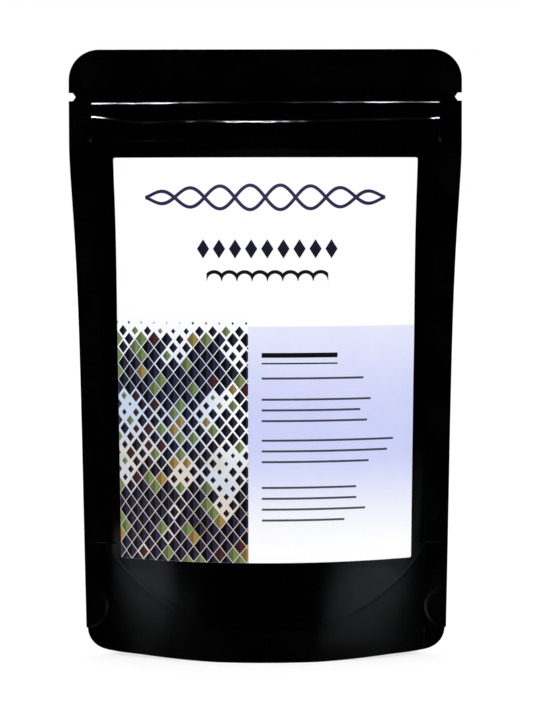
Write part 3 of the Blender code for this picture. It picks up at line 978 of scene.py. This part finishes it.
def lozenge_row(x, y):
    """A row of solid lozenges."""
    number, off_middle = (x - LOZENGE_ROW[0]).cells(LOZENGE_PITCH)
    size = off_middle.size() / LOZENGE_HALF[0] + (y - LOZENGE_ROW[1]).size() / LOZENGE_HALF[1]
    return size.fade(1.0, 1.0 + INK_EDGE / 2) * number.counted(LOZENGE_COUNT)


def arch_row(x, y):
    """A chain of plain arches side by side."""
    number, off_middle = (x - ARCH_ROW[0]).cells(ARCH_PITCH)
    off = y - ARCH_ROW[1]
    ring = (distance(off_middle, off) - ARCH_RADIUS).size()
    drawn = ring.fade(ARCH_STROKE, ARCH_STROKE + INK_EDGE) * number.counted(ARCH_COUNT)
    return drawn * off.rise(-0.05, 0.05)


def plain_bar(x, y, middle, thick, span):
    """One plain bar."""
    drawn = (y - middle).size().fade(thick / 2, thick / 2 + INK_EDGE)
    return drawn * x.rise(span[0], span[0] + INK_EDGE) * x.fade(span[1], span[1] + INK_EDGE)


def haze(tree, colours, x, y):
    """A soft two-toned haze, warmer low down, that gives way to bare paper at the top and upper right."""
    drift = cloud(tree, vector(tree, x, y), 17.0)
    ground = blend(tree, (drift + y / 90 - 0.35).rise(0.35, 0.75), colours.cream, colours.haze)
    warm = cloud(tree, vector(tree, x, y, 31.0), 15.0, 1.0)
    ground = blend(tree, warm.rise(0.5, 0.68) * y.fade(16.0, 46.0) * 0.8, ground, colours.ochre)
    bare = y.rise(52.0, 84.0).highest(x.rise(24.0, 44.0) * y.rise(18.0, 50.0) * 0.95)
    return blend(tree, bare, ground, colours.paper)


def tile_picture(tree, colours, x, y):
    """A field of small two-toned lozenge tiles over the haze, thinning out to the top."""
    across = x / TILE_WIDE
    upward = y / TILE_TALL
    first, off_first = (across + upward).cells(1.0)
    second, off_second = (across - upward).cells(1.0)
    middle_y = (first - second) * (TILE_TALL / 2)
    middle_x = (first + second + 1) * (TILE_WIDE / 2)
    gather = cloud(tree, vector(tree, middle_x, middle_y, 7.0), 13.0, 1.0).rise(0.25, 0.55)
    thinner = middle_y.rise(16.0, 34.0) * middle_y.fade(46.0, 60.0)
    size = middle_y * -0.002 + gather * TILE_GATHERED + TILE_SHARE - thinner * TILE_THINNED
    size = (size * middle_y.fade(TILE_TOP - 8.0, TILE_TOP + 1.0)).lowest(TILE_LARGEST)
    reach = off_first.size().highest(off_second.size()) * 2
    lit = (off_first + off_second).rise(-0.02, 0.02)
    draw = chance(tree, first, second)
    shade = blend(tree, lit, colours.tile_dark, colours.tile_light)
    for low_draw, name in TILE_TINTS:
        tint = getattr(colours, name)
        toned = blend(tree, lit, [value * TILE_SHADOW for value in tint], tint)
        shade = blend(tree, draw.rise(low_draw, low_draw + 0.001), shade, toned)
    return blend(tree, (size - reach).rise(0.0, 0.05), haze(tree, colours, x, y), shade)


def label_material(colours):
    """Semi-gloss label stock with a generic print: braid, lozenges, arches, tiles and ruled lines."""
    material, tree, shader = new_material("label paper")
    place, x, y = flat_place(tree)
    picture = tile_picture(tree, colours, x, y)
    ink = blend(tree, x.fade(FIELD_LEFT, FIELD_LEFT + INK_EDGE), colours.paper, picture)
    tint = y.rise(2.0, 40.0) * (1 - (y - 50.0) * 0.016).lowest(1.0)
    edges = x.rise(FIELD_LEFT, FIELD_LEFT + INK_EDGE) * y.fade(FIELD_TOP, FIELD_TOP + 0.6)
    cloudy = cloud(tree, place, 14.0) * 0.24 + 0.88
    ink = blend(tree, (tint * edges * cloudy).highest(0.0), ink, colours.lavender)

    ink = blend(tree, braid(x, y), ink, colours.violet)
    ink = blend(tree, lozenge_row(x, y), ink, colours.navy)
    ink = blend(tree, arch_row(x, y), ink, colours.black)
    for middle, thick in TITLE_BARS:
        ink = blend(tree, plain_bar(x, y, middle, thick, TITLE_SPAN), ink, colours.black)
    for low, count, pitch, longest in TEXT_GROUPS:
        group = {"Left": TEXT_LEFT, "Low": low, "Count": count, "Pitch": pitch, "Longest": longest}
        drawn = use(tree, "Ruled lines", place, Stroke=TEXT_STROKE, **group)
        ink = blend(tree, drawn * INK_SHARE, ink, colours.black)

    wear = use(tree, "Edge wear", place, Distance=mark(tree, EDGE_MARK), Width=0.25)
    base = blend(tree, wear * 0.2, ink, WORN_PAPER)
    fibre = use(tree, "Film grain", place, Size=0.22, Coarse=0.3)
    roughness = fibre * 0.12 + wear * 0.2 + 0.36
    normal = bump(tree, fibre, 0.004 * MM)
    feed_all(tree, shader, {"Base Color": base, "Roughness": roughness, "Normal": normal})
    return material


# Pieces

SEAL_STEPS = 18
BESIDE_SEAL_STEPS = 4
BODY_STEPS = 58
CORNER_STEPS = 10
BESIDE_SEAL = SEAL_INNER - 1.5 * MM
# How far each stretch of rows reaches up, and in how many steps
ROW_STRETCHES = (
    (DIE_STEP_RISE + BOTTOM_CORNER, 3),
    (GUSSET_FOLD - 0.9 * MM, 48),
    (GUSSET_FOLD + 0.5 * MM, 12),
    (ZIP_TAPE_LOW - 1.4 * MM, 88),
    (NOTCH_HEIGHT - NOTCH_HALF - NOTCH_WALL, 90),
    (NOTCH_HEIGHT - NOTCH_HALF, 1),
    (NOTCH_HEIGHT + NOTCH_HALF, 6),
    (NOTCH_HEIGHT + NOTCH_HALF + NOTCH_WALL, 1),
    (POUCH_HEIGHT - TOP_CORNER, 5),
)
TOP_SEAL = 12 * MM
LOW_SEAL_SHARE = 0.8
TOP_SEAL_SHARE = 0.7
GUSSET_SEAL_STEPS = 16
GUSSET_LEAF_STEPS = 36
# The gusset's place on the flat film's map, and the height whose side wear it takes from the panels
GUSSET_MAP_START = 0.1
GUSSET_MAP_ROW = 0.6 * MM
GUSSET_WEAR_HEIGHT = 30 * MM
PUNCH_CUTS = 20
LABEL_COLUMN_STEPS = 44
LABEL_ROW_STEPS = 110
LABEL_ENDS = (0.0, 0.05 * MM, 0.2 * MM, 0.4 * MM, LABEL_CORNER)
FILL_LEVEL = 94 * MM
FILL_HALF_SPAN = 54 * MM
FILL_WALL_GAP = 1.5 * MM
FILL_FLOOR_GAP = 1.8 * MM
FILL_STEPS = (76, 24, 50)
BERRY_DOME = 1.0 * MM
BERRY_DOME_REACH = 0.72
BERRY_SINK = 0.5 * MM
BERRY_SKIN = 0.9 * MM


def film_columns():
    """The film's columns, closer together in and beside the side seals."""
    columns = spread(HALF_WIDTH, SEAL_INNER, SEAL_STEPS)
    columns += spread(SEAL_INNER, BESIDE_SEAL, BESIDE_SEAL_STEPS)[1:]
    return mirrored(columns + spread(BESIDE_SEAL, 0.0, BODY_STEPS)[1:])


def corner_rows():
    """The rows in the round bottom corners, by even steps round the corner."""
    turns = spread(0.0, math.pi / 2, CORNER_STEPS)
    return [BOTTOM_CORNER * (1 - math.cos(turn)) for turn in turns]


def panel_rows():
    """A panel's rows: close together at corners, steps, zip and notches, wider apart on the bulge."""
    rows = corner_rows()
    for top, steps in ROW_STRETCHES:
        rows += spread(rows[-1], top, steps)[1:]
    start = POUCH_HEIGHT - TOP_CORNER
    turns = spread(0.0, math.pi / 2, CORNER_STEPS)[1:]
    return rows + [start + TOP_CORNER * math.sin(turn) for turn in turns]


def seal_share(across, up):
    """1 where the film is sealed: the sides, the band below the gusset's seal and the top."""
    side = smooth(abs(across), SEAL_INNER - 0.1 * MM, SEAL_INNER + 0.3 * MM)
    low = 1 - smooth(up, seal_top(across) - 0.3 * MM, seal_top(across) + 0.1 * MM)
    top = smooth(up, POUCH_HEIGHT - TOP_SEAL, POUCH_HEIGHT - TOP_SEAL + 0.4 * MM)
    return max(side, low * LOW_SEAL_SHARE, top * TOP_SEAL_SHARE)


def off_cut(across, up):
    """The distance to the nearest cut edge, in millimetres."""
    return min(half_outline(up) - abs(across), up, POUCH_HEIGHT - up) / MM


def film_flat(column, row):
    """A film point's place on the flat film."""
    return fitted(column, row) + HALF_WIDTH, row


def panel(form, name, side, material):
    """One film panel, made from its outer face inwards."""

    def place(column, row):
        return form.outer(fitted(column, row), row, side)

    marks = {
        SEAL_MARK: lambda column, row: seal_share(fitted(column, row), row),
        EDGE_MARK: lambda column, row: off_cut(fitted(column, row), row),
    }
    columns = film_columns()
    if side > 0:
        columns.reverse()
    mesh = sheet_mesh(columns, panel_rows(), place, film_flat, marks)
    return film_piece(name, mesh, material, form.sizes.film, -1)


def gusset_rows():
    """Row numbers from the front edge over the middle fold, at 0, to the back edge."""
    count = GUSSET_LEAF_STEPS + GUSSET_SEAL_STEPS + CORNER_STEPS
    return list(range(-count, count + 1))


def gusset_up(column, row):
    """How far up a panel a gusset row lies against it, or None on the free leaves."""
    below = abs(row) - GUSSET_LEAF_STEPS
    if below < 0:
        return None
    if below > GUSSET_SEAL_STEPS:
        return corner_rows()[GUSSET_SEAL_STEPS + CORNER_STEPS - below]
    part = below / GUSSET_SEAL_STEPS
    return (seal_top(column) - 0.2 * MM) * (1 - part) + BOTTOM_CORNER * part


def punch_out(mesh, middle, inwards):
    """Cuts a half-round notch into the side of an open sheet. inwards is the way from that side edge to
    the pouch's middle, -1 or 1."""
    turns = spread(-math.pi / 2, math.pi / 2, PUNCH_CUTS)
    normals = [Vector((inwards * math.cos(turn), 0, math.sin(turn))) for turn in turns]
    bm = bmesh.new()
    bm.from_mesh(mesh)
    for normal in normals:
        reach = 1.3 * PUNCH_RADIUS
        near = [face for face in bm.faces if (face.calc_center_median() - middle).length < reach]
        edges = {edge for face in near for edge in face.edges}
        points = {vertex for face in near for vertex in face.verts}
        parts = near + sorted(edges, key=lambda edge: edge.index)
        parts += sorted(points, key=lambda vertex: vertex.index)
        edge_place = middle + normal * PUNCH_RADIUS
        bmesh.ops.bisect_plane(bm, geom=parts, dist=1e-6, plane_co=edge_place, plane_no=normal)
        bm.verts.index_update()
        bm.edges.index_update()
    cut = []
    for face in bm.faces:
        off_middle = face.calc_center_median() - middle
        if all(off_middle.dot(normal) < PUNCH_RADIUS for normal in normals):
            cut.append(face)
    bmesh.ops.delete(bm, geom=cut, context="FACES")
    bm.to_mesh(mesh)
    bm.free()


def gusset(form, material):
    """The folded web between the panels, with half-round punch-outs in its side seals."""

    def place(column, row):
        side = math.copysign(1, row)
        up = gusset_up(column, row)
        if up is None:
            return form.leaf(column, 1 - abs(row) / GUSSET_LEAF_STEPS, side)
        return form.inside(fitted(column, up), up, side, form.layer + form.sizes.film / 2)

    def flat(column, row):
        return column + HALF_WIDTH, abs(row) * GUSSET_MAP_ROW + GUSSET_MAP_START

    marks = {
        SEAL_MARK: lambda column, row: LOW_SEAL_SHARE if abs(row) >= GUSSET_LEAF_STEPS else 0.0,
        EDGE_MARK: lambda column, row: off_cut(column, GUSSET_WEAR_HEIGHT),
    }
    mesh = sheet_mesh(film_columns(), gusset_rows(), place, flat, marks)
    sideways = form.bow(HALF_WIDTH, PUNCH_HEIGHT)[0] + PUNCH_OUTSET
    for side in (-1, 1):
        punch_out(mesh, Vector((side * sideways, 0, height(HALF_WIDTH, PUNCH_HEIGHT))), -side)
    return film_piece("gusset_film", mesh, material, form.sizes.film, 0)


def label_half(row):
    """Half the label's width at a height, with its small round corners."""
    from_end = max(min(row - LABEL_LOW, LABEL_HIGH - row), 0.0)
    if from_end >= LABEL_CORNER:
        return LABEL_WIDTH / 2
    reach = math.sqrt(LABEL_CORNER**2 - (LABEL_CORNER - from_end) ** 2)
    return LABEL_WIDTH / 2 - LABEL_CORNER + reach


def label(form, material):
    """The label, which lies on the front panel and follows its curve."""

    def narrowed(column, row):
        return column * label_half(row) / (LABEL_WIDTH / 2)

    def place(column, row):
        return form.inside(narrowed(column, row), row, -1, -(AIR + form.sizes.label))

    def flat(column, row):
        return narrowed(column, row) + LABEL_WIDTH / 2, row - LABEL_LOW

    def off_edge(column, row):
        return min(label_half(row) - abs(narrowed(column, row)), row - LABEL_LOW, LABEL_HIGH - row) / MM

    columns = mirrored(spread(LABEL_WIDTH / 2, 0.0, LABEL_COLUMN_STEPS))
    rows = [LABEL_LOW + end for end in LABEL_ENDS]
    rows += spread(LABEL_LOW + LABEL_CORNER, LABEL_HIGH - LABEL_CORNER, LABEL_ROW_STEPS)[1:-1]
    rows += [LABEL_HIGH - end for end in reversed(LABEL_ENDS)]
    mesh = sheet_mesh(columns, rows, place, flat, {EDGE_MARK: off_edge})
    return film_piece("front_label", mesh, material, form.sizes.label, -1)


def fill_floor(form, across, depth_share):
    """The height of the contents' underside, which lies on the gusset."""
    seal = form.inside(across, seal_top(across), 1, form.layer).y
    wall = form.outer(across, seal_top(across), 1).y - FILL_WALL_GAP
    part = math.acos(min(abs(depth_share) * wall / seal, 1.0)) / (math.pi / 2)
    return form.leaf(across, part, 1).z + FILL_FLOOR_GAP


def berries(form, material):
    """The dried contents: one lumpy bed whose surface is all berries, with their wrinkles."""
    bm = bmesh.new()
    bmesh.ops.create_cube(bm, size=2)
    for axis, count in enumerate(FILL_STEPS):
        normal = Vector((0, 0, 0))
        normal[axis] = 1
        for at in spread(-1, 1, count)[1:-1]:
            parts = bm.verts[:] + bm.edges[:] + bm.faces[:]
            bmesh.ops.bisect_plane(bm, geom=parts, dist=1e-6, plane_co=normal * at, plane_no=normal)
    for vertex in bm.verts:
        across = vertex.co.x * FILL_HALF_SPAN
        depth_share = vertex.co.y
        low = fill_floor(form, across, depth_share)
        up = low + (FILL_LEVEL - low) * (vertex.co.z + 1) / 2
        wall = form.outer(across, up, 1)
        vertex.co = (wall.x, depth_share * (wall.y - FILL_WALL_GAP), up)
    bm.normal_update()
    moves = []
    for vertex in bm.verts:
        nearest, _ = noise.voronoi(vertex.co / form.sizes.berry)
        dome = math.sqrt(max(1 - (nearest[0] / BERRY_DOME_REACH) ** 2, 0.0))
        skin = noise.noise(vertex.co / BERRY_SKIN)
        moves.append(vertex.normal * (dome * BERRY_DOME + skin * form.sizes.wrinkle - BERRY_SINK))
    for vertex, move in zip(bm.verts, moves):
        vertex.co += move
    mesh = bpy.data.meshes.new("contents")
    bm.to_mesh(mesh)
    bm.free()
    piece = show("berry_bed", mesh, material)
    mesh.shade_smooth()
    return piece


# The studio

CARD_TINT = (0.9, 0.96, 1.0)
CARD_DISTANCE = 170 * MM
# Each low card: the turns from straight ahead at which it starts to show, is full, starts to fade and is
# gone, the same four for its height in millimetres, its lean and its brightness
LOW_CARDS = (
    ((-84, -76, -56, -46), (-12, 6, 16, 30), 0.75, 1.2),
    ((-58, -50, -46, -30), (-13, 0, 6, 18), 0.0, 0.25),
    ((31, 53, 60, 84), (-22, 12, 16, 32), -0.55, 1.15),
    ((72, 80, 83, 89), (10, 24, 38, 56), 0.0, 0.28),
)
SOFTBOX_PLACE = (0, 210 * MM, 1150 * MM)
SOFTBOX_SIZE = (900 * MM, 500 * MM)
REAR_CARD_PLACE = (550 * MM, 400 * MM, 20 * MM)
REAR_CARD_SIZE = (360 * MM, 1100 * MM)
# How bright the room is to glossy film, and the pale floor beside and behind the pouch
DARKNESS = 0.001
FLOOR_SHEEN = 0.4
# How much of its own colour the floor gives back, and how strongly it glows
FLOOR_SHARE = 0.36
FLOOR_GLOW = 0.72
FLOOR_SIZE = 12


def soften(light, sides, ends, lean=0.0):
    """Fades a card towards its edges. sides and ends give, as shares of its width and height, where it
    starts to show, is full, starts to fade and is gone. lean slants the first side below the full part."""
    light.use_nodes = True
    tree = light.node_tree
    across, up, _ = apart(tree, new_node(tree, "NewGeometry").outputs["Parametric"])
    slanted = across + (up.lowest(ends[2]) - ends[2]) * lean
    part = slanted.rise(sides[0], sides[1]) * across.fade(sides[2], sides[3])
    part = part * up.rise(ends[0], ends[1]) * up.fade(ends[2], ends[3])
    feed(tree, part, tree.nodes["Emission"].inputs["Strength"])


def card(name, place, target, wide, tall, brightness):
    """A soft light card that only shows in glossy film. brightness is its radiance."""
    light = bpy.data.lights.new(name, "AREA")
    light.shape = "RECTANGLE"
    light.size = wide
    light.size_y = tall
    light.energy = brightness * math.pi * wide * tall
    light.color = CARD_TINT
    lamp = bpy.data.objects.new(name, light)
    lamp.location = place
    lamp.rotation_euler = (Vector(target) - Vector(place)).to_track_quat("-Z", "Y").to_euler()
    lamp.visible_camera = False
    lamp.visible_diffuse = False
    bpy.context.scene.collection.objects.link(lamp)
    return lamp


def lights(studio):
    """Low cards at both sides of the camera, a softbox above and tall cards behind."""
    for turns, levels, lean, part in LOW_CARDS:
        middle = (turns[0] + turns[-1]) / 2
        steps = [math.tan(math.radians(turn - middle)) for turn in turns]
        turn = math.radians(middle)
        spot = Vector((math.sin(turn), -math.cos(turn), 0)) * CARD_DISTANCE
        spot.z = (levels[0] + levels[-1]) / 2 * MM
        wide = steps[-1] - steps[0]
        tall = levels[-1] - levels[0]
        size = (CARD_DISTANCE * wide, tall * MM)
        lamp = card("low card", spot, (0, 0, spot.z), *size, studio.cards * part)
        sides = [step / wide + 0.5 for step in steps]
        ends = [(level - levels[0]) / tall for level in levels]
        soften(lamp.data, sides, ends, lean)
    for side in (-1, 1):
        spot = (side * REAR_CARD_PLACE[0], *REAR_CARD_PLACE[1:])
        lamp = card("rear card", spot, (0, 0, POUCH_HEIGHT / 2), *REAR_CARD_SIZE, studio.rear)
        soften(lamp.data, (0, 0.45, 0.55, 1), (0, 0.3, 0.7, 1))
    below = (*SOFTBOX_PLACE[:2], 0)
    card("softbox", SOFTBOX_PLACE, below, *SOFTBOX_SIZE, studio.overhead)


def backdrop(studio):
    """White daylight from all sides for matt surfaces and the camera, and darkness for glossy ones."""
    world = bpy.data.worlds.new("studio")
    bpy.context.scene.world = world
    world.use_nodes = True
    # Found by the rays alone, so that each ray gets the light meant for its kind
    world.cycles.sampling_method = "NONE"
    tree = world.node_tree
    rays = new_node(tree, "LightPath")
    seen = Field(tree, rays.outputs["Is Camera Ray"])
    glossy = Field(tree, rays.outputs["Is Glossy Ray"])
    x, y, z = apart(tree, new_node(tree, "TexCoord").outputs["Generated"])
    aside = x.size().rise(0.25, 0.6).highest(y.rise(0.1, 0.5))
    below = (z * -1).rise(0.2, 0.55)
    matt = (1 - seen) * (studio.daylight - 1) + 1
    strength = (1 - glossy) * matt + glossy * (aside * below * FLOOR_SHEEN + DARKNESS)
    feed_all(tree, tree.nodes["Background"], {"Color": (1, 1, 1, 1), "Strength": strength})


def floor(colours):
    """A wide pale floor that glows a little, so that shadows on it stay faint."""
    bpy.ops.mesh.primitive_plane_add(size=FLOOR_SIZE)
    piece = bpy.context.object
    piece.name = "studio_floor"
    material, tree, shader = new_material("studio floor")
    feed_all(tree, shader, {
        "Base Color": (*[value * FLOOR_SHARE for value in colours.floor], 1),
        "Roughness": 1,
        "Specular IOR Level": 0,
        "Emission Color": (1, 1, 1, 1),
        "Emission Strength": FLOOR_GLOW,
    })
    piece.data.materials.append(material)
    piece.visible_glossy = False
    piece.visible_shadow = False


def camera(studio):
    """The camera at the photograph's angle."""
    data = bpy.data.cameras.new("camera")
    data.sensor_fit = "VERTICAL"
    data.sensor_height = 36
    data.lens = studio.lens
    data.clip_start = 0.01
    data.clip_end = 50
    view = bpy.data.objects.new("camera", data)
    view.location = (studio.aside, -studio.distance, studio.height)
    aim = Matrix.Rotation(math.pi / 2 - studio.pitch, 3, "X") @ Matrix.Rotation(studio.roll, 3, "Z")
    view.rotation_euler = aim.to_euler()
    bpy.context.scene.collection.objects.link(view)
    bpy.context.scene.camera = view


# Operators


class PouchOperator:
    """What the pouch's operators share."""

    bl_options = {"REGISTER", "UNDO"}


class POUCH_OT_panels(PouchOperator, bpy.types.Operator):
    """Makes the front and back panels of film"""

    bl_idname = "pouch.panels"
    bl_label = "Film Panels"

    def execute(self, context):
        form = PouchForm(context.scene.pouch_sizes)
        material = film_material("black film", context.scene.pouch_colours, grain_size=0.45)
        for name, side, node in (("front_film", -1, "front_panel"), ("back_film", 1, "back_panel")):
            place_in_frame(panel(form, name, side, material), "black_film", node)
        return {"FINISHED"}


class POUCH_OT_gusset(PouchOperator, bpy.types.Operator):
    """Makes the folded bottom gusset"""

    bl_idname = "pouch.gusset"
    bl_label = "Bottom Gusset"

    def execute(self, context):
        form = PouchForm(context.scene.pouch_sizes)
        material = film_material("gusset film", context.scene.pouch_colours, grain_size=0.42)
        place_in_frame(gusset(form, material), "gusset_film", "bottom_gusset")
        return {"FINISHED"}


class POUCH_OT_zip(PouchOperator, bpy.types.Operator):
    """Finishes the two strips of the zip"""

    bl_idname = "pouch.zip"
    bl_label = "Zip Strips"

    def execute(self, context):
        material = zip_material(context.scene.pouch_colours)
        for name in ("zip_groove_strip", "zip_rib_strip"):
            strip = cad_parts[name]
            for holder in strip.material_slots:
                holder.material = material
        return {"FINISHED"}


class POUCH_OT_label(PouchOperator, bpy.types.Operator):
    """Makes the printed label on the front"""

    bl_idname = "pouch.label"
    bl_label = "Front Label"

    def execute(self, context):
        form = PouchForm(context.scene.pouch_sizes)
        material = label_material(context.scene.pouch_colours)
        place_in_frame(label(form, material), "label_paper", "label")
        return {"FINISHED"}


class POUCH_OT_contents(PouchOperator, bpy.types.Operator):
    """Makes the bed of dried berries inside"""

    bl_idname = "pouch.contents"
    bl_label = "Dried Contents"

    def execute(self, context):
        form = PouchForm(context.scene.pouch_sizes)
        material = berry_material(context.scene.pouch_colours)
        place_in_frame(berries(form, material), "dried_berries", "dried_berry_fill")
        return {"FINISHED"}


class POUCH_OT_stage(PouchOperator, bpy.types.Operator):
    """Makes the floor, the light and the camera"""

    bl_idname = "pouch.stage"
    bl_label = "Studio"

    def execute(self, context):
        scene = context.scene
        floor(scene.pouch_colours)
        backdrop(scene.pouch_studio)
        lights(scene.pouch_studio)
        camera(scene.pouch_studio)
        scene.view_settings.view_transform = "Standard"
        return {"FINISHED"}


OPERATORS = (
    POUCH_OT_panels, POUCH_OT_gusset, POUCH_OT_zip, POUCH_OT_label, POUCH_OT_contents, POUCH_OT_stage,
)


class POUCH_PT_sidebar(bpy.types.Panel):
    """The pouch's steps and settings"""

    bl_idname = "POUCH_PT_sidebar"
    bl_label = "Stand-up Pouch"
    bl_space_type = "VIEW_3D"
    bl_region_type = "UI"
    bl_category = "Pouch"

    def draw(self, context):
        for step in OPERATORS:
            self.layout.operator(step.bl_idname)
        scene = context.scene
        for group in (scene.pouch_sizes, scene.pouch_colours, scene.pouch_studio):
            box = self.layout.box()
            for name in group.__annotations__:
                box.prop(group, name)


GROUPS = {"pouch_sizes": PouchSizes, "pouch_colours": PouchColours, "pouch_studio": PouchStudio}
CLASSES = (*GROUPS.values(), *OPERATORS, POUCH_PT_sidebar)


def register():
    """Registers the settings, the operators and the panel."""
    for item in CLASSES:
        bpy.utils.register_class(item)
    for name, group in GROUPS.items():
        setattr(bpy.types.Scene, name, bpy.props.PointerProperty(type=group))


def unregister():
    """Takes them away again."""
    for name in GROUPS:
        delattr(bpy.types.Scene, name)
    for item in reversed(CLASSES):
        bpy.utils.unregister_class(item)


def main():
    """Makes every piece and the studio."""
    register()
    bpy.ops.pouch.panels()
    bpy.ops.pouch.gusset()
    bpy.ops.pouch.zip()
    bpy.ops.pouch.label()
    bpy.ops.pouch.contents()
    bpy.ops.pouch.stage()


if __name__ == "__main__":
    main()
